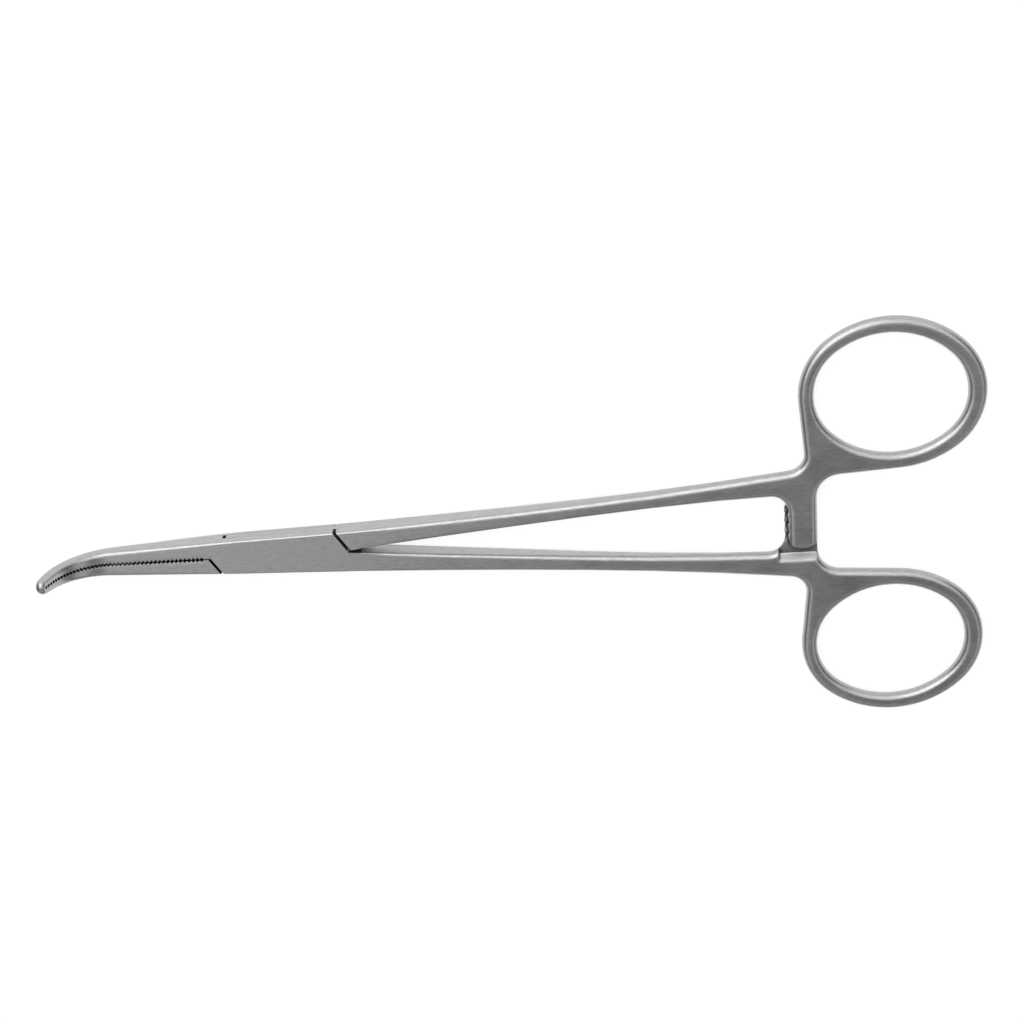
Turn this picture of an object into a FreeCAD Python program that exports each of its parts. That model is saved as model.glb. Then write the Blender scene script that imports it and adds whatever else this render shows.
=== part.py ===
# Curved hemostatic forceps with a box lock, in millimetres.
# X runs from the pivot towards the finger rings, Y across the rings and Z up.
# The origin is on the pivot axis, in the plane of the box lock's underside.
# The jaws bend up out of the plane of the rings, towards +Z.

import FreeCAD
import Part
import math
import os

# Every rounded edge is a run of narrow flats, this many degrees apart, which keeps its mesh light
round_step = 15.0

# Box lock, and the width of the blank that both jaws are ground from
box_thickness = 4.6
box_edge_radius = 0.45
box_rear = 16.0
box_rear_half_width = 4.38
box_front = 8.0
box_front_half_width = 3.6

# Jaws: the top face stays level with the box, then turns up round one bend
jaw_waist = 22.0
jaw_waist_half_width = 3.04
jaw_waist_thickness = 3.85
jaw_waist_edge_radius = 0.6
bend_start = 32.9
bend_radius = 12.1
bend_angle = 71.0
bend_sections = 4
bend_half_width = 2.62
bend_thickness = 3.1
bend_edge_radius = 0.75
tip_run = 2.0
tip_half_width = 1.62
tip_thickness = 1.9
tip_edge_radius = 0.8

# Serrations across the closing faces, counted from the tip
lower_jaw_pitch = 0.85
upper_jaw_pitch = 0.83
serration_end = 0.35
serration_depth = 0.4
serration_width = 0.8
serration_margin = 1.7
jaw_gap_at_box = 0.22
jaw_gap_at_tip = 0.04

# Shoulders of the box lock, the neck that passes through it and its slot
shoulder_reach = 13.6
shoulder_angle = 57.0
shoulder_gap = 0.45
neck_thickness = 1.4
neck_below_middle = 0.4
neck_face_clearance = 0.05
neck_end_lean = 3.64
neck_end_gap = 0.6
slot_rear_margin = 2.16

# Rivet pin
pin_radius = 2.0
pin_running_clearance = 0.05

# Shanks: distance from the pivot, inner edge and outer edge
shank_stations = [
    (32.0, 1.92, 5.27),
    (46.0, 3.06, 6.15),
    (60.0, 4.13, 7.17),
    (73.0, 4.98, 8.27),
]
shank_inner_offset = 0.15
shank_root_inner = 0.5
shank_root_inner_radius = 0.08
shank_end = 86.0
shank_end_inner = 5.58
shank_end_outer = 9.58
shank_end_inner_slope = 0.03
shank_end_outer_slope = 0.11

# Finger rings: ovals of four arcs. The shifts are towards the jaws, the hole's from the ring
ring_thickness = 2.5
ring_centre_x = 119.2
ring_centre_y = 25.9
ring_tilt = -3.2
ring_outer_long = 17.75
ring_outer_short = 15.25
ring_outer_end_share = 0.905
ring_band_end = 3.25
ring_band_side = 3.2
ring_hole_end_share = 0.884
ring_hole_shift = 0.3
upper_ring_shift = -0.25
lower_ring_shift = 0.05

# Web between shank, ring and ratchet arm
web_left = 102.9
web_bottom = 9.7
web_shank_fillet = 3.4
web_ring_fillet = 4.6
arm_root_fillet = 3.2
blank_overrun = 4.0
blank_corner_radius = 1.6

# Ratchet arms: half as thick as the rings, with teeth on the faces that mate
upper_arm_left = 99.2
upper_arm_right = 104.85
lower_arm_left = 98.55
lower_arm_right = 104.8
arm_reach = 4.9
arm_end_radius = 4.2
arm_face_clearance = 0.03
recess_left = 97.3
recess_right = 105.4
recess_start = 6.1
ratchet_teeth = 4
ratchet_pitch = 2.2
ratchet_depth = 0.7
ratchet_steep_run = 0.26
ratchet_land = 0.12
ratchet_crest = 0.4
ratchet_play = 0.15
ratchet_side_margin = 0.6

# Working values
V = FreeCAD.Vector
UP = V(0, 0, 1)
half_box = box_thickness / 2
half_ring = ring_thickness / 2
far = 30.0
cut_margin = 1.0
neck_overlap = 0.1
bend_end = bend_start + bend_radius * math.radians(bend_angle)
tip_distance = bend_end + tip_run
male_shoulder_reach = shoulder_reach + shoulder_gap / math.sin(math.radians(shoulder_angle))
neck_end_reach = male_shoulder_reach - neck_end_lean
slot_rear_reach = male_shoulder_reach + slot_rear_margin
round_angles = [math.radians(round_step * (flat + 0.5)) for flat in range(round(90 / round_step))]


def between(value, low, high, at_low, at_high):
    return at_low + (at_high - at_low) * (value - low) / (high - low)


def loop(points):
    """Closed flat face round a list of corners."""
    return Part.Face(Part.makePolygon(points + points[:1]))


def prism(outline, low, high):
    """Upright prism over a closed plan outline."""
    return loop([V(x, y, low) for x, y in outline]).extrude(UP * (high - low))


def arc(before, middle, after):
    return Part.Arc(before, middle, after).toShape()


# Rounded edges, and cross-sections of the blank and the shanks

def rounding(centre, across, up, radius, slope=0.0):
    """Corners of the flats round an edge, from the wall to the level face. They touch a circle
    about the centre, or an oval where a plane cuts an edge that runs at a slope."""
    reach = radius / math.cos(round_angles[0])
    stretch = math.sqrt(1 + slope * slope)
    return [centre + across * (reach * stretch * math.cos(a)) + up * (reach * math.sin(a))
            for a in round_angles]


def section(origin, up, inner, outer, half, inner_edge, outer_edge):
    """Rounded rectangle between two sides, with an edge radius and a slope for each."""
    points = []
    for side, outward, level, (radius, slope) in ((outer, 1, 1, outer_edge), (inner, -1, 1, inner_edge),
                                                  (inner, -1, -1, inner_edge), (outer, 1, -1, outer_edge)):
        back = outward * radius * math.sqrt(1 + slope * slope)
        centre = origin + V(0, side - back, 0) + up * (level * (half - radius))
        corner = rounding(centre, V(0, outward, 0), up * level, radius, slope)
        points += corner if outward == level else corner[::-1]
    return Part.makePolygon(points + points[:1])


# The blank: box and both jaws in one, before they are parted

blank_stations = [
    (-box_rear, box_rear_half_width, box_thickness, box_edge_radius),
    (box_front, box_front_half_width, box_thickness, box_edge_radius),
    (jaw_waist, jaw_waist_half_width, jaw_waist_thickness, jaw_waist_edge_radius),
    (bend_start, bend_half_width, bend_thickness, bend_edge_radius),
    (tip_distance, tip_half_width, tip_thickness, tip_edge_radius),
]


def blank_size(distance):
    """Half width, thickness and edge radius of the blank at a distance from the pivot."""
    for low, high in zip(blank_stations, blank_stations[1:]):
        if distance <= high[0] + 1e-9:
            break
    return [between(distance, low[0], high[0], low[k], high[k]) for k in (1, 2, 3)]


def centre_line(distance):
    """Point, direction towards the tip and upward normal at a distance from the pivot."""
    level = half_box - blank_size(min(distance, bend_start))[1] / 2
    run = min(distance, bend_start)
    turn = min(max(distance - bend_start, 0.0) / bend_radius, math.radians(bend_angle))
    along = V(-math.cos(turn), 0, math.sin(turn))
    normal = V(math.sin(turn), 0, math.cos(turn))
    point = V(-run - bend_radius * math.sin(turn), 0, level + bend_radius * (1 - math.cos(turn)))
    point += along * max(distance - bend_end, 0.0)
    return point, along, normal


def blank_section(distance):
    point, along, normal = centre_line(distance)
    half_width, thickness, radius = blank_size(distance)
    return section(point, normal, -half_width, half_width, thickness / 2, (radius, 0.0), (radius, 0.0))


def make_nose():
    """Rounded nose: half of the tip's section turned about the upright axis there."""
    point, along, normal = centre_line(tip_distance)
    whole = Part.Face(blank_section(tip_distance))
    side = Part.makeBox(far, far, far, V(-far / 2, 0, -far / 2))
    side.Placement = FreeCAD.Placement(point, FreeCAD.Rotation(UP, normal)).multiply(side.Placement)
    return whole.common(side).Faces[0].revolve(point, normal, 180)


def make_blank():
    straight = [blank_section(row[0]) for row in blank_stations[:-1]]
    bend = [blank_section(between(step, 0, bend_sections, bend_start, bend_end))
            for step in range(bend_sections + 1)]
    run = [blank_section(bend_end), blank_section(tip_distance)]
    box = Part.makeLoft(straight, True, True)
    curve = Part.makeLoft(bend, True, False)
    end = Part.makeLoft(run, True, True)
    return box.fuse([curve, end, make_nose()])


# Handles

def make_shank(inner_offset):
    """Upper shank, from the rear of the box to the web, where its sides have become half rounds."""
    root = (box_rear, shank_root_inner, box_rear_half_width)
    end = (shank_end, shank_end_inner, shank_end_outer)
    wires = []
    for x, inner, outer in [root] + shank_stations + [end]:
        half = between(x, box_rear, shank_end, half_box, half_ring)
        inner_radius = between(x, box_rear, shank_end, shank_root_inner_radius, half_ring)
        outer_radius = between(x, box_rear, shank_end, box_edge_radius, half_ring)
        slopes = (shank_end_inner_slope, shank_end_outer_slope) if x == shank_end else (0.0, 0.0)
        wires.append(section(V(x, 0, 0), UP, inner + inner_offset, outer, half,
                             (inner_radius, slopes[0]), (outer_radius, slopes[1])))
    return Part.makeLoft(wires, True, True)


def round_corner(before, corner, after, radius):
    """Start, middle and end of an arc of this radius that rounds a corner between two lines."""
    a = (before - corner).normalize()
    b = (after - corner).normalize()
    half_angle = math.acos(a.dot(b)) / 2
    reach = radius / math.tan(half_angle)
    centre = corner + (a + b).normalize() * (radius / math.sin(half_angle))
    middle = centre + (corner - centre).normalize() * radius
    return corner + a * reach, middle, corner + b * reach


def ring_point(u, v):
    """Point at mid-thickness from the ring's own long and short axes."""
    tilt = math.radians(ring_tilt)
    x = ring_centre_x + u * math.cos(tilt) - v * math.sin(tilt)
    y = ring_centre_y + u * math.sin(tilt) + v * math.cos(tilt)
    return V(x, y, 0)


def oval(long_half, short_half, end_share, shift):
    """Centres and radii of the four arcs of an oval: right, top, left and bottom, and their half angle.
    The end arcs' radius is a share of the short half."""
    end_radius = short_half * end_share
    reach = long_half - end_radius
    side_radius = (reach ** 2 + short_half ** 2 - end_radius ** 2) / (2 * (short_half - end_radius))
    drop = side_radius - short_half
    half_angle = math.degrees(math.atan2(drop, reach))
    right = (reach - shift, 0.0, end_radius)
    top = (-shift, -drop, side_radius)
    left = (-reach - shift, 0.0, end_radius)
    bottom = (-shift, drop, side_radius)
    return right, top, left, bottom, half_angle


def oval_arc(circle, first, last):
    u, v, radius = circle
    angles = [math.radians(angle) for angle in (first, (first + last) / 2, last)]
    return arc(*[ring_point(u + radius * math.cos(a), v + radius * math.sin(a)) for a in angles])


def touch_angle(circle, point, side):
    """Angle at which a line from the point touches one circle of the oval."""
    tilt = math.radians(-ring_tilt)
    dx = point.x - ring_centre_x
    dy = point.y - ring_centre_y
    u = dx * math.cos(tilt) - dy * math.sin(tilt) - circle[0]
    v = dx * math.sin(tilt) + dy * math.cos(tilt) - circle[1]
    towards = math.degrees(math.atan2(v, u)) % 360
    return towards + side * math.degrees(math.acos(circle[2] / math.hypot(u, v)))


def inset(edge, parameter, reach):
    """Point of an outline moved into the material, which is on its left."""
    return edge.valueAt(parameter) + UP.cross(edge.tangentAt(parameter)) * reach


def rim(edge):
    """Half-round rim along one line or arc of an outline."""
    start = edge.valueAt(edge.FirstParameter)
    centre = inset(edge, edge.FirstParameter, half_ring)
    outward = (start - centre).normalize()
    profile = Part.makePolygon(rounding(centre, outward, UP * -1, half_ring)[::-1]
                               + rounding(centre, outward, UP, half_ring))
    if isinstance(edge.Curve, Part.Line):
        return profile.extrude(edge.valueAt(edge.LastParameter) - start)
    return profile.revolve(edge.Curve.Center, edge.Curve.Axis,
                           math.degrees(edge.LastParameter - edge.FirstParameter))


def level_face(outline, z):
    """Level face within the rims of an outline."""
    reach = half_ring * (1 - math.tan(round_angles[0]))
    edges = []
    for edge in outline:
        first = inset(edge, edge.FirstParameter, reach) + UP * z
        middle = inset(edge, (edge.FirstParameter + edge.LastParameter) / 2, reach) + UP * z
        last = inset(edge, edge.LastParameter, reach) + UP * z
        straight = isinstance(edge.Curve, Part.Line)
        edges.append(Part.makeLine(first, last) if straight else arc(first, middle, last))
    return Part.Face(Part.Wire(edges))


def make_plate(outline, hole):
    """Plate with a half-round rim all round its outline and its hole."""
    faces = [face for edge in outline + hole for face in rim(edge).Faces]
    for z in (-half_ring, half_ring):
        faces += level_face(outline, z).cut(level_face(hole, z)).Faces
    skin = Part.makeCompound(faces)
    skin.sewShape()
    plate = Part.makeSolid(skin.Shells[0])
    return plate if plate.Volume > 0 else plate.reversed()


def ring_hole(ring_shift):
    """Outline of the finger hole, with the ring's material on its left."""
    long_half = ring_outer_long - ring_band_end
    short_half = ring_outer_short - ring_band_side
    right, top, left, bottom, spread = oval(long_half, short_half, ring_hole_end_share,
                                            ring_shift + ring_hole_shift)
    return [
        oval_arc(left, 180 + spread, 180 - spread),
        oval_arc(top, 180 - spread, spread),
        oval_arc(right, spread, -spread),
        oval_arc(bottom, 360 - spread, 180 + spread),
    ]


def ring_outside(arm_corner, shank_corner, ring_shift):
    """Outside of the ring, between the points where lines from the web's two corners touch it."""
    right, top, left, bottom, spread = oval(ring_outer_long, ring_outer_short, ring_outer_end_share,
                                            ring_shift)
    return [
        oval_arc(bottom, touch_angle(bottom, arm_corner, 1), 360 - spread),
        oval_arc(right, -spread, spread),
        oval_arc(top, spread, 180 - spread),
        oval_arc(left, 180 - spread, touch_angle(left, shank_corner, -1)),
    ]


def make_web(arm_left, arm_right, inner_offset, ring_shift):
    """Upper ring with its web and a ratchet arm of full thickness, all rims half round.
    Shank and arm run on past their ends, rounded there too, and are cut off afterwards."""
    inner = shank_end_inner + inner_offset
    back = shank_end - blank_overrun
    below = -arm_reach - blank_overrun
    inner_back = V(back, inner - shank_end_inner_slope * blank_overrun, 0)
    inner_corner = V(arm_left, inner + shank_end_inner_slope * (arm_left - shank_end), 0)
    arm_corner = V(arm_right, web_bottom, 0)
    shank_corner = V(web_left, shank_end_outer + shank_end_outer_slope * (web_left - shank_end), 0)
    outer_back = V(back, shank_end_outer - shank_end_outer_slope * blank_overrun, 0)
    ring = ring_outside(arm_corner, shank_corner, ring_shift)
    ring_start = ring[0].valueAt(ring[0].FirstParameter)
    ring_end = ring[-1].valueAt(ring[-1].LastParameter)
    corners = [
        (outer_back, inner_back, blank_corner_radius),
        (inner_back, inner_corner, arm_root_fillet),
        (inner_corner, V(arm_left, below, 0), blank_corner_radius),
        (V(arm_left, below, 0), V(arm_right, below, 0), blank_corner_radius),
        (V(arm_right, below, 0), arm_corner, web_ring_fillet),
        (ring_end, shank_corner, web_shank_fillet),
        (shank_corner, outer_back, blank_corner_radius),
    ]
    after = [corner for before, corner, radius in corners[1:5]] + [ring_start, outer_back, inner_back]
    outline = []
    last = round_corner(shank_corner, outer_back, inner_back, blank_corner_radius)[2]
    for (before, corner, radius), towards in zip(corners, after):
        if before == ring_end:
            outline += [Part.makeLine(last, ring_start)] + ring
            last = ring_end
        start, middle, end = round_corner(before, corner, towards, radius)
        outline += [Part.makeLine(last, start), arc(start, middle, end)]
        last = end
    behind = Part.makeBox(far, far, far, V(shank_end - far, -far / 2, -far / 2))
    return make_plate(outline, ring_hole(ring_shift)).cut(behind)


def ratchet_relief(arm_left, arm_right, first_crest):
    """All that is cut from the upper arm's underside: the recess, the gullets and the rounded end."""
    floor = arm_face_clearance
    below = -half_ring - cut_margin
    lean = floor - below

    def across(points, right):
        return loop([V(recess_left, y, z) for y, z in points]).extrude(V(right - recess_left, 0, 0))

    relief = [across([(-far, floor), (recess_start, floor), (recess_start + lean, below), (-far, below)],
                     recess_right)]
    for tooth in range(ratchet_teeth):
        crest = first_crest + (tooth - ratchet_teeth / 2) * ratchet_pitch
        land = crest + ratchet_pitch - ratchet_land
        gullet = (crest + ratchet_steep_run, floor + ratchet_depth)
        relief.append(across([(crest, below), (crest, floor), gullet, (land, floor), (land, below)],
                             arm_right - ratchet_side_margin))
    middle = (arm_left + arm_right) / 2
    start = V(recess_left, -arm_reach - blank_overrun - cut_margin, -ring_thickness)
    beyond = Part.makeBox(recess_right - recess_left, blank_overrun + cut_margin + arm_end_radius,
                          2 * ring_thickness, start)
    round_end = Part.makeCylinder(arm_end_radius, 2 * ring_thickness,
                                  V(middle, arm_end_radius - arm_reach, -ring_thickness))
    relief.append(beyond.cut(round_end))
    return relief[0].fuse(relief[1:])


def make_upper_handle():
    web = make_web(upper_arm_left, upper_arm_right, shank_inner_offset, upper_ring_shift)
    handle = make_shank(shank_inner_offset).fuse(web)
    return handle.cut(ratchet_relief(upper_arm_left, upper_arm_right, ratchet_crest - ratchet_play))


def make_lower_handle():
    """Built like the upper one, then turned over about X."""
    web = make_web(lower_arm_left, lower_arm_right, -shank_inner_offset, lower_ring_shift)
    handle = make_shank(-shank_inner_offset).fuse(web)
    handle = handle.cut(ratchet_relief(lower_arm_left, lower_arm_right, -ratchet_crest))
    handle.rotate(V(0, 0, 0), V(1, 0, 0), 180)
    return handle


# Box lock: plan outlines that part the blank into the two halves

def shoulder_x(reach, y):
    """X of a shoulder that crosses the middle at reach and leans back towards the pivot."""
    return reach - y / math.tan(math.radians(shoulder_angle))


def female_region():
    """Full-thickness part of the female half: upper jaw, box and root of the lower shank."""
    inner = shank_root_inner - shank_inner_offset
    side = far / 3
    return [
        (-2 * far, jaw_gap_at_tip / 2),
        (-bend_start - bend_radius, jaw_gap_at_tip / 2),
        (-shoulder_reach, jaw_gap_at_box / 2),
        (-shoulder_x(shoulder_reach, side), -side),
        (box_rear, -side),
        (box_rear, -inner),
        (shoulder_reach, -inner / 2),
        (shoulder_x(shoulder_reach, side), side),
        (-2 * far, side),
    ]


def male_front_region():
    """Full-thickness lower jaw, up to its shoulder."""
    side = far / 3
    return [
        (-2 * far, -jaw_gap_at_tip / 2),
        (-bend_start - bend_radius, -jaw_gap_at_tip / 2),
        (-male_shoulder_reach, -jaw_gap_at_box / 2),
        (-shoulder_x(male_shoulder_reach, side), -side),
        (-2 * far, -side),
    ]


def male_rear_region():
    """Full-thickness root of the upper shank, from its shoulder."""
    inner = shank_root_inner + shank_inner_offset
    side = far / 3
    return [
        (male_shoulder_reach, inner / 2),
        (box_rear, inner),
        (box_rear, side),
        (shoulder_x(male_shoulder_reach, side), side),
    ]


def end_x(reach_middle, reach_side, y):
    """X of a neck or slot end that runs from the middle of the box to its side."""
    return between(y, 0.0, box_front_half_width, reach_middle, reach_side)


def neck_region():
    """The male neck: all of the middle slab between the two ends of the slot."""
    inner = shank_root_inner + shank_inner_offset
    side = far / 3
    overlap = box_rear - neck_overlap
    return [
        (-male_shoulder_reach, -jaw_gap_at_box / 2),
        (-end_x(male_shoulder_reach, neck_end_reach, side), side),
        (overlap, side),
        (overlap, inner),
        (male_shoulder_reach, inner / 2),
        (end_x(male_shoulder_reach, neck_end_reach, side), -side),
        (-overlap, -side),
        (-overlap, -jaw_gap_at_box / 2),
    ]


def slot_region():
    """The slot through the box, longer than the neck by a gap at each end."""
    inner = shank_root_inner - shank_inner_offset
    side = far / 2
    front = male_shoulder_reach + neck_end_gap
    reach = neck_end_reach + neck_end_gap
    return [
        (-front, -side),
        (-front, 0.0),
        (-end_x(front, reach, side), side),
        (slot_rear_reach, side),
        (slot_rear_reach, -inner),
        (end_x(slot_rear_reach, reach, side), -side),
    ]


def serrations(pitch, side):
    """V grooves across one jaw's closing face, along the bend. side is 1 for the upper jaw."""
    grooves = []
    distance = tip_distance + serration_end
    while distance > shoulder_reach + serration_margin:
        point, along, normal = centre_line(distance)
        gap = between(distance, shoulder_reach, tip_distance, jaw_gap_at_box, jaw_gap_at_tip)
        half = serration_width / 2
        start = point - normal * half_box

        def at(step, y):
            return start + along * step + V(0, side * y, 0)

        groove = loop([at(-half, gap / 2), at(0, gap / 2 + serration_depth), at(half, gap / 2),
                       at(half, -gap), at(-half, -gap)])
        grooves.append(groove.extrude(normal * box_thickness))
        distance -= pitch
    return Part.makeCompound(grooves)


def bore(radius):
    return Part.makeCylinder(radius, box_thickness, V(0, 0, -half_box))


def make_female(blank):
    """Lower handle, box with its slot, and the upper jaw."""
    low = -neck_below_middle - neck_thickness / 2 - neck_face_clearance
    high = -neck_below_middle + neck_thickness / 2 + neck_face_clearance
    body = blank.common(prism(female_region(), -far, far)).fuse(make_lower_handle())
    body = body.cut([prism(slot_region(), low, high), bore(pin_radius)])
    return body.cut(serrations(upper_jaw_pitch, 1)).removeSplitter()


def make_male(blank):
    """Upper handle, the neck through the slot, and the lower jaw."""
    low = -neck_below_middle - neck_thickness / 2
    high = -neck_below_middle + neck_thickness / 2
    front = blank.common(prism(male_front_region(), -far, far))
    rear = blank.common(prism(male_rear_region(), -far, far))
    neck = blank.common(prism(neck_region(), low, high))
    body = front.fuse([neck, rear, make_upper_handle()])
    body = body.cut(bore(pin_radius + pin_running_clearance))
    return body.cut(serrations(lower_jaw_pitch, -1)).removeSplitter()


def make_pin():
    """Rivet pin, ground flush with both faces of the box."""
    return bore(pin_radius)


def write(shape, name):
    solids = shape.Solids
    placed = (solids[0] if len(solids) == 1 else Part.makeCompound(solids)).copy()
    placed.translate(UP * half_box)
    print(name, "solids", len(solids), "valid", placed.isValid(), "volume", round(placed.Volume, 2))
    placed.exportStep(os.path.join("parts", name + ".step"))


os.makedirs("parts", exist_ok=True)
blank = make_blank()
write(make_female(blank), "female_half")
write(make_male(blank), "male_half")
write(make_pin(), "pivot_pin")
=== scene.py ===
# Looks of the curved hemostatic forceps: satin stainless steel on a white table.
# Values whose names end in Mm are millimetres and in Deg degrees; Blender works in metres.

import bpy
import bmesh
import math
from mathutils import Matrix, Vector
from mathutils.bvhtree import BVHTree


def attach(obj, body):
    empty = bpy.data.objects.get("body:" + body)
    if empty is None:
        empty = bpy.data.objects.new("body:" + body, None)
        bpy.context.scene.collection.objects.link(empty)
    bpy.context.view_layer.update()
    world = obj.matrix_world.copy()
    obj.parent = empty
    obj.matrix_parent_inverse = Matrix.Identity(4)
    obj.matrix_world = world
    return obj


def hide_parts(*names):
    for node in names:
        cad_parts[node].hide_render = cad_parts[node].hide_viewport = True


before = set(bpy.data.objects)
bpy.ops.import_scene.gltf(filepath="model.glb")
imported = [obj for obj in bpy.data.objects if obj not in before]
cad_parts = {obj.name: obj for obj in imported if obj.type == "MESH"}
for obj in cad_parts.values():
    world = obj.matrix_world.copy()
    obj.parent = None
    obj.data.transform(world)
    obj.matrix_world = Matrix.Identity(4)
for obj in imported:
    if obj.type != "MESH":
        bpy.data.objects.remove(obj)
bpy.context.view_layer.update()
scene = bpy.context.scene

mm = 0.001


# Helpers

def hexColour(text):
    # sRGB hex text to the linear colour that Blender's sockets take
    parts = [int(text[i:i + 2], 16) / 255 for i in (1, 3, 5)]
    linear = [p / 12.92 if p <= 0.04045 else ((p + 0.055) / 1.055) ** 2.4 for p in parts]
    return (*linear, 1.0)


def addNode(tree, kind, settings=None, links=None):
    # a setting goes to the socket of that name or number, or else to the node itself
    node = tree.nodes.new(kind)
    for name, value in (settings or {}).items():
        if isinstance(name, int) or name in node.inputs:
            node.inputs[name].default_value = value
        else:
            setattr(node, name, value)
    for name, output in (links or {}).items():
        tree.links.new(output, node.inputs[name])
    return node


def newMaterial(name):
    material = bpy.data.materials.new(name)
    material.use_nodes = True
    material.node_tree.nodes.clear()
    return material, material.node_tree


# Satin stainless steel

satinSteel = {
    "colour": "#C1C1C0",
    "darkerColour": "#A2A2A1",
    "roughness": 0.34,
    "roughnessSwing": 0.07,
    "brushLineMm": 0.2,            # real lines are near 0.03 mm; drawn coarser so that they show
    "brushLineLengthMm": 1.6,
    "brushLineDetail": 4.0,
    "brushLineHarshness": 0.65,
    "brushDepthMm": 0.0012,
    "cloudMm": 6.0,                # patches a little duller or shinier than their neighbours
    "cloudDetail": 3.0,
    "noiseSpan": (0.3, 0.7),       # the noises mostly keep between these, spread from 0 to 1
    "easedMm": 0.9,                # the handles' and jaws' edges are polished rounder, by so much
    "easedFromMm": (17.0, 24.0),   # the handles' easing sets in over this stretch behind the box lock
    "easedSamples": 8,
    "paintedNookMm": 1.6,                 # painted shade: steel this near on most sides darkens the colour, as if it kept the light out
    "paintedNookSpan": (0.3, 0.75),       # how open to the light, from darkest painted shade to plain
    # the share of the colour that is left in the darkest painted shade
    "paintedNookShade": 0.4,
    "paintedNookSamples": 6,
}


def addBrushLines(tree, spec, place):
    lineScale = 1 / (spec["brushLineMm"] * mm)
    lengthScale = 1 / (spec["brushLineLengthMm"] * mm)
    stretch = addNode(tree, "ShaderNodeMapping", {"Scale": (lengthScale, lineScale, lineScale)},
                      {"Vector": place})
    lines = addNode(tree, "ShaderNodeTexNoise",
                    {"Scale": 1.0, "Detail": spec["brushLineDetail"],
                     "Roughness": spec["brushLineHarshness"]},
                    {"Vector": stretch.outputs["Vector"]})
    return lines.outputs["Fac"]


def addEasedNormal(tree, spec, place):
    nearEnd, farEnd = (x * mm for x in spec["easedFromMm"])
    along = addNode(tree, "ShaderNodeSeparateXYZ", {}, {"Vector": place})
    onHandles = addNode(tree, "ShaderNodeMapRange", {"From Min": nearEnd, "From Max": farEnd},
                        {"Value": along.outputs["X"]})
    onJaws = addNode(tree, "ShaderNodeAttribute", {"attribute_name": "easedJaw"})
    share = addNode(tree, "ShaderNodeMath", {"operation": "MAXIMUM"},
                    {0: onHandles.outputs["Result"], 1: onJaws.outputs["Fac"]})
    plain = addNode(tree, "ShaderNodeNewGeometry")
    eased = addNode(tree, "ShaderNodeBevel",
                    {"samples": spec["easedSamples"], "Radius": spec["easedMm"] * mm})
    edge = addNode(tree, "ShaderNodeMix", {"data_type": "VECTOR"},
                   {0: share.outputs["Value"], 4: plain.outputs["Normal"],
                    5: eased.outputs["Normal"]})
    return edge.outputs[1]


# Painted shade: ambient occlusion darkens the steel's colour in nooks and gaps
def addPaintedNookShade(tree, spec, colour):
    low, high = spec["paintedNookSpan"]
    paintedNook = addNode(tree, "ShaderNodeAmbientOcclusion",
                   {"samples": spec["paintedNookSamples"], "Distance": spec["paintedNookMm"] * mm})
    light = addNode(tree, "ShaderNodeMapRange",
                    {"From Min": low, "From Max": high, "To Min": spec["paintedNookShade"], "To Max": 1.0},
                    {"Value": paintedNook.outputs["AO"]})
    shaded = addNode(tree, "ShaderNodeMix", {"data_type": "RGBA", "blend_type": "MULTIPLY", 0: 1.0},
                     {6: colour, 7: light.outputs["Result"]})
    return shaded.outputs[2]


def makeSatinSteel(name, spec):
    # Martensitic stainless steel, belt-ground lengthwise and satin brushed: grey, softly
    # mirror-like, with fine lines along the instrument that spread highlights a little
    material, tree = newMaterial(name)
    place = addNode(tree, "ShaderNodeTexCoord").outputs["Object"]
    lines = addBrushLines(tree, spec, place)
    low, high = spec["noiseSpan"]
    share = addNode(tree, "ShaderNodeMapRange", {"From Min": low, "From Max": high},
                    {"Value": lines})
    colour = addNode(tree, "ShaderNodeMix",
                     {"data_type": "RGBA", 6: hexColour(spec["darkerColour"]),
                      7: hexColour(spec["colour"])}, {0: share.outputs["Result"]})
    clouds = addNode(tree, "ShaderNodeTexNoise",
                     {"Scale": 1 / (spec["cloudMm"] * mm), "Detail": spec["cloudDetail"]},
                     {"Vector": place})
    lowest = spec["roughness"] - spec["roughnessSwing"] / 2
    gloss = addNode(tree, "ShaderNodeMapRange",
                    {"From Min": low, "From Max": high,
                     "To Min": lowest, "To Max": lowest + spec["roughnessSwing"]},
                    {"Value": clouds.outputs["Fac"]})
    grain = addNode(tree, "ShaderNodeBump", {"Strength": 1.0, "Distance": spec["brushDepthMm"] * mm},
                    {"Height": lines, "Normal": addEasedNormal(tree, spec, place)})
    # the base colour carries the painted shade of the nooks
    surface = addNode(tree, "ShaderNodeBsdfPrincipled", {"Metallic": 1.0},
                      {"Base Color": addPaintedNookShade(tree, spec, colour.outputs[2]),
                       "Roughness": gloss.outputs["Result"], "Normal": grain.outputs["Normal"]})
    addNode(tree, "ShaderNodeOutputMaterial", {}, {"Surface": surface.outputs["BSDF"]})
    return material


# Milled steel of the faces that close on each other, with painted shade where they shut the light out

milledSteelAndShade = {
    "colour": "#A8A8A8",
    # painted shade: the colour that the closing faces take where the light is shut out
    "paintedClosedShade": "#1C1C1C",
    "paintedClosedMm": 2.4,               # painted shade: the other half this near on most sides makes the colour dark
    "paintedClosedSpan": (0.62, 0.98),    # how open to the light, from dark painted shade to plain
    "paintedClosedSamples": 6,
    "roughness": 0.45,
}


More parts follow.
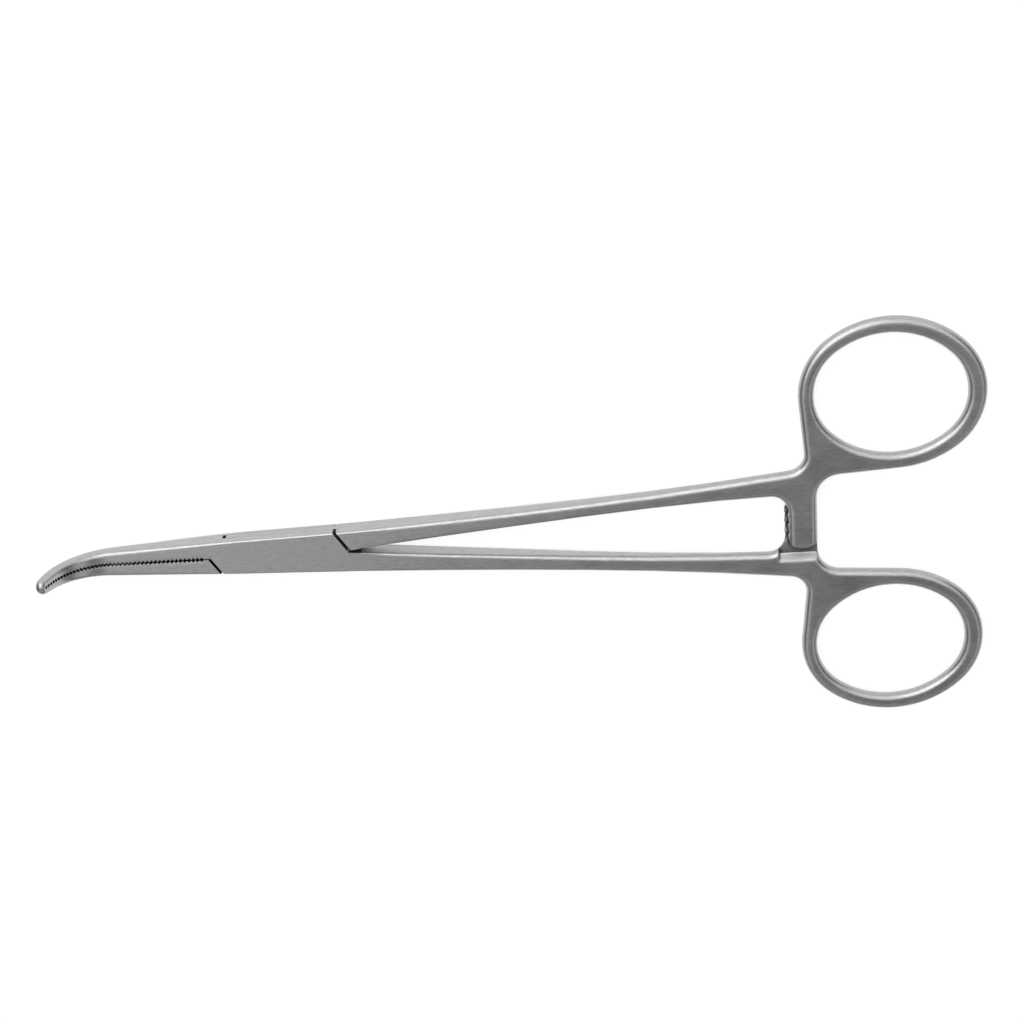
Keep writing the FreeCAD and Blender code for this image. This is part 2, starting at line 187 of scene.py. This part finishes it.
def makeMilledSteelAndShade(name, spec):
    # The same steel straight from the cutter and never polished, dull grey, with painted shade: its
    # colour goes nearly black in the grooves and gullets, and under the upper arm's end, where the light
    # is shut out
    material, tree = newMaterial(name)
    low, high = spec["paintedClosedSpan"]
    paintedNook = addNode(tree, "ShaderNodeAmbientOcclusion",
                   {"samples": spec["paintedClosedSamples"], "Distance": spec["paintedClosedMm"] * mm})
    light = addNode(tree, "ShaderNodeMapRange", {"From Min": low, "From Max": high},
                    {"Value": paintedNook.outputs["AO"]})
    colour = addNode(tree, "ShaderNodeMix",
                     {"data_type": "RGBA", 6: hexColour(spec["paintedClosedShade"]),
                      7: hexColour(spec["colour"])}, {0: light.outputs["Result"]})
    surface = addNode(tree, "ShaderNodeBsdfPrincipled",
                      {"Metallic": 1.0, "Roughness": spec["roughness"]},
                      {"Base Color": colour.outputs[2]})
    addNode(tree, "ShaderNodeOutputMaterial", {}, {"Surface": surface.outputs["BSDF"]})
    return material


steel = makeSatinSteel("satinStainlessSteel", satinSteel)
milledAndShaded = makeMilledSteelAndShade("milledSteelPaintedShade", milledSteelAndShade)
print("steel made")


# Forceps: the CAD halves with their rounded edges shaded smooth and their cut edges kept sharp

pieces = {
    "femaleHalf": {"node": "female_half", "body": "female", "other": "male_half", "slot": "satin_steel"},
    "maleHalf": {"node": "male_half", "body": "male", "other": "female_half", "slot": "satin_steel"},
    "pivotPin": {"node": "pivot_pin", "body": "female", "other": "male_half", "slot": "pin_steel"},
}

dressing = {
    "mergeMm": 0.002,
    "levelDeg": 0.2,               # neighbouring triangles this near to one plane are joined
    "sharpDeg": 28.0,              # edges sharper than this stay sharp
    "closingMm": 0.9,              # a face this near to the other half closes on it, and takes the milled steel with its painted shade
    "clearMm": 0.01,               # measured from this far off the face
    "levelNormal": 0.99,           # faces with a normal more upright than this are level, and polished
    "armFromMm": 90.0,             # except the lower arm's face under the upper arm's end, this far back, which takes it as a painted shadow
    "armTopMm": (2.2, 2.35),       # and at this height
    "shoulderMm": (0.0, 30.0),     # along here, a face turned to the rear is the box's shoulder,
    "shoulderNormal": 0.5,         # and is polished too
    "jawsToMm": -14.0,             # the jaws' edges are eased as far as the box's front
    "crispMm": (0.3, 1.6),         # but stay crisp this near to the other jaw
}


def loadNode(node):
    bm = bmesh.new()
    bm.from_mesh(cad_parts[node].data)
    return bm


def surfaceOf(node):
    bm = loadNode(node)
    surface = BVHTree.FromBMesh(bm)
    bm.free()
    return surface


def joinTriangles(bm):
    bmesh.ops.remove_doubles(bm, verts=bm.verts, dist=dressing["mergeMm"] * mm)
    bmesh.ops.dissolve_degenerate(bm, edges=bm.edges, dist=dressing["mergeMm"] * mm)
    bmesh.ops.dissolve_limit(bm, angle_limit=math.radians(dressing["levelDeg"]),
                             verts=bm.verts, edges=bm.edges)


# Closing faces take the milled steel with painted shade, and the level face under the upper arm's end
# takes it as a painted shadow
def getsMilledSteelAndShade(face, opposite):
    start = face.calc_center_median() + face.normal * dressing["clearMm"] * mm
    if abs(face.normal.z) > dressing["levelNormal"]:
        low, high = (height * mm for height in dressing["armTopMm"])
        return start.x > dressing["armFromMm"] * mm and face.normal.z > 0 and low < start.z < high
    nearEnd, farEnd = (x * mm for x in dressing["shoulderMm"])
    if nearEnd < start.x < farEnd and face.normal.x > dressing["shoulderNormal"]:
        return False
    return opposite.ray_cast(start, face.normal, dressing["closingMm"] * mm)[0] is not None


def jawEasing(place, opposite):
    if place.x > dressing["jawsToMm"] * mm:
        return 0.0
    near, far = (gap * mm for gap in dressing["crispMm"])
    distance = opposite.find_nearest(place)[3]
    return min(max((distance - near) / (far - near), 0.0), 1.0)


def dressNode(name, node, body, other, slot):
    bm = loadNode(node)
    joinTriangles(bm)
    opposite = surfaceOf(other)
    for face in bm.faces:
        face.smooth = True
        # closing faces, and the face under the upper arm's end, take the milled steel with painted shade
        face.material_index = getsMilledSteelAndShade(face, opposite)
    easing = bm.verts.layers.float.new("easedJaw")
    for vert in bm.verts:
        vert[easing] = jawEasing(vert.co, opposite)
    for edge in bm.edges:
        edge.smooth = edge.is_manifold and edge.calc_face_angle() < math.radians(dressing["sharpDeg"])
    mesh = bpy.data.meshes.new(name)
    bm.to_mesh(mesh)
    bm.free()
    mesh.materials.append(steel)
    mesh.materials.append(milledAndShaded)
    piece = bpy.data.objects.new(name, mesh)
    scene.collection.objects.link(piece)
    even = piece.modifiers.new("evenShading", "WEIGHTED_NORMAL")
    even.keep_sharp = True
    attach(piece, body)
    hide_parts(node)


for pieceName, pieceSpec in pieces.items():
    dressNode(pieceName, **pieceSpec)
print("forceps dressed")


# Table, world and lamps

table = {
    "sizeMm": 6000.0,
    "belowMm": 0.05,
    "seenColour": "#939393",       # what the camera and the steel see, under the white below
    "seenWhite": 0.8,
    "paintedNookMm": 1.5,                 # painted shadow: the white goes dark where steel stands on most sides this near
    "paintedNookSpan": (0.2, 0.45),
    "paintedNookSamples": 8,
    "litColour": "#E6E6E6",        # what other light falls on
}

surround = {
    "colour": "#FFFFFF",
    "mirrored": 0.11,              # the dim studio that the steel mirrors above the table
    "seen": 1.0,                   # the white that the camera sees past the table's edge
}


def addBackgroundRays(tree):
    # 1 for the camera's rays and for those that metal mirrors or glass lets through
    path = addNode(tree, "ShaderNodeLightPath")
    mirrored = addNode(tree, "ShaderNodeMath", {"operation": "MAXIMUM"},
                       {0: path.outputs["Is Camera Ray"], 1: path.outputs["Is Glossy Ray"]})
    each = addNode(tree, "ShaderNodeMath", {"operation": "MAXIMUM"},
                   {0: mirrored.outputs["Value"], 1: path.outputs["Is Transmission Ray"]})
    return each.outputs["Value"]


def makeTable():
    material, tree = newMaterial("whitePaperTable")
    low, high = table["paintedNookSpan"]
    soft = addNode(tree, "ShaderNodeBsdfDiffuse", {"Color": hexColour(table["seenColour"])})
    # painted shadow: ambient occlusion dims the table's white next to the steel
    paintedNook = addNode(tree, "ShaderNodeAmbientOcclusion",
                   {"samples": table["paintedNookSamples"], "Distance": table["paintedNookMm"] * mm})
    strength = addNode(tree, "ShaderNodeMapRange",
                       {"From Min": low, "From Max": high, "To Min": 0.0, "To Max": table["seenWhite"]},
                       {"Value": paintedNook.outputs["AO"]})
    white = addNode(tree, "ShaderNodeEmission", {}, {"Strength": strength.outputs["Result"]})
    seen = addNode(tree, "ShaderNodeAddShader", {},
                   {0: soft.outputs["BSDF"], 1: white.outputs["Emission"]})
    lit = addNode(tree, "ShaderNodeBsdfDiffuse", {"Color": hexColour(table["litColour"])})
    mix = addNode(tree, "ShaderNodeMixShader", {}, {
        "Fac": addBackgroundRays(tree), 1: lit.outputs["BSDF"], 2: seen.outputs["Shader"]})
    addNode(tree, "ShaderNodeOutputMaterial", {}, {"Surface": mix.outputs["Shader"]})
    bm = bmesh.new()
    bmesh.ops.create_grid(bm, x_segments=1, y_segments=1, size=table["sizeMm"] * mm / 2,
                          matrix=Matrix.Translation((0, 0, -table["belowMm"] * mm)))
    mesh = bpy.data.meshes.new("table")
    bm.to_mesh(mesh)
    bm.free()
    mesh.materials.append(material)
    top = bpy.data.objects.new("table", mesh)
    scene.collection.objects.link(top)


def makeWorld():
    world = bpy.data.worlds.new("studio")
    world.use_nodes = True
    tree = world.node_tree
    tree.nodes.clear()
    path = addNode(tree, "ShaderNodeLightPath")
    dim = addNode(tree, "ShaderNodeBackground",
                  {"Color": hexColour(surround["colour"]), "Strength": surround["mirrored"]})
    white = addNode(tree, "ShaderNodeBackground",
                    {"Color": hexColour(surround["colour"]), "Strength": surround["seen"]})
    mix = addNode(tree, "ShaderNodeMixShader", {}, {
        "Fac": path.outputs["Is Camera Ray"], 1: dim.outputs["Background"],
        2: white.outputs["Background"]})
    addNode(tree, "ShaderNodeOutputWorld", {}, {"Surface": mix.outputs["Shader"]})
    scene.world = world


lampsAimMm = (45.0, 5.0, 0.0)      # about the middle of the forceps

# Each softbox: where it stands, seen from the point it aims at, its size, and how bright it looks,
# where 1 is white
softboxes = {
    "overheadSoftbox": {"azimuthDeg": 90.0, "elevationDeg": 62.0, "awayMm": 900.0, "acrossMm": 1900.0,
                        "deepMm": 1150.0, "bright": 1.15},
    "jawSoftbox": {"azimuthDeg": 125.0, "elevationDeg": 54.0, "awayMm": 950.0, "acrossMm": 800.0,
                   "deepMm": 900.0, "bright": 1.3},
    "backSoftbox": {"azimuthDeg": 90.0, "elevationDeg": 14.0, "awayMm": 900.0, "acrossMm": 2200.0,
                    "deepMm": 560.0, "bright": 0.82},
    "leftSoftbox": {"azimuthDeg": 220.0, "elevationDeg": 60.0, "awayMm": 900.0, "acrossMm": 640.0,
                    "deepMm": 560.0, "bright": 0.54},
    "rightSoftbox": {"azimuthDeg": 332.0, "elevationDeg": 40.0, "awayMm": 900.0, "acrossMm": 500.0,
                     "deepMm": 500.0, "bright": 0.6},
    "frontStrip": {"azimuthDeg": 270.0, "elevationDeg": 38.0, "awayMm": 900.0, "acrossMm": 1600.0,
                   "deepMm": 420.0, "bright": 0.45},
}


def addSoftbox(name, spec):
    turn, lift = math.radians(spec["azimuthDeg"]), math.radians(spec["elevationDeg"])
    away = Vector((math.cos(turn) * math.cos(lift), math.sin(turn) * math.cos(lift), math.sin(lift)))
    across = Vector((1, 0, 0))
    across = (across - away * across.dot(away)).normalized()
    light = bpy.data.lights.new(name, "AREA")
    light.shape = "RECTANGLE"
    light.size = spec["acrossMm"] * mm
    light.size_y = spec["deepMm"] * mm
    light.energy = spec["bright"] * math.pi * light.size * light.size_y
    lamp = bpy.data.objects.new(name, light)
    place = Matrix((across, away.cross(across), away)).transposed().to_4x4()
    place.translation = (Vector(lampsAimMm) + away * spec["awayMm"]) * mm
    lamp.matrix_world = place
    scene.collection.objects.link(lamp)


makeTable()
makeWorld()
for lampName, lampSpec in softboxes.items():
    addSoftbox(lampName, lampSpec)
print("table, world and lamps set")


# Camera: above the forceps, leaning back over the upper ring

lookFrom = {
    "targetMm": (46.0, 5.66, 2.3),
    "backTiltDeg": 23.06,
    "sideTiltDeg": 3.57,
    "rollDeg": 4.59,
    "distanceMm": 420.0,
    "lensMm": 76.0,
    "sensorMm": 36.0,
    "clipMm": (10.0, 20000.0),
}


def addCamera(spec):
    tilt, side, roll = (math.radians(spec[k]) for k in ("backTiltDeg", "sideTiltDeg", "rollDeg"))
    back = Vector((math.sin(side), math.sin(tilt) * math.cos(side), math.cos(tilt) * math.cos(side)))
    right = Vector((0, 1, 0)).cross(back).normalized()
    up = back.cross(right)
    rolledRight = right * math.cos(roll) - up * math.sin(roll)
    rolledUp = right * math.sin(roll) + up * math.cos(roll)
    lens = bpy.data.cameras.new("camera")
    lens.lens = spec["lensMm"]
    lens.sensor_width = spec["sensorMm"]
    lens.clip_start, lens.clip_end = (distance * mm for distance in spec["clipMm"])
    camera = bpy.data.objects.new("camera", lens)
    place = Matrix((rolledRight, rolledUp, back)).transposed().to_4x4()
    place.translation = Vector(spec["targetMm"]) * mm + back * spec["distanceMm"] * mm
    camera.matrix_world = place
    scene.collection.objects.link(camera)
    scene.camera = camera


addCamera(lookFrom)
scene.view_settings.view_transform = "Standard"

print("camera set, finishing")
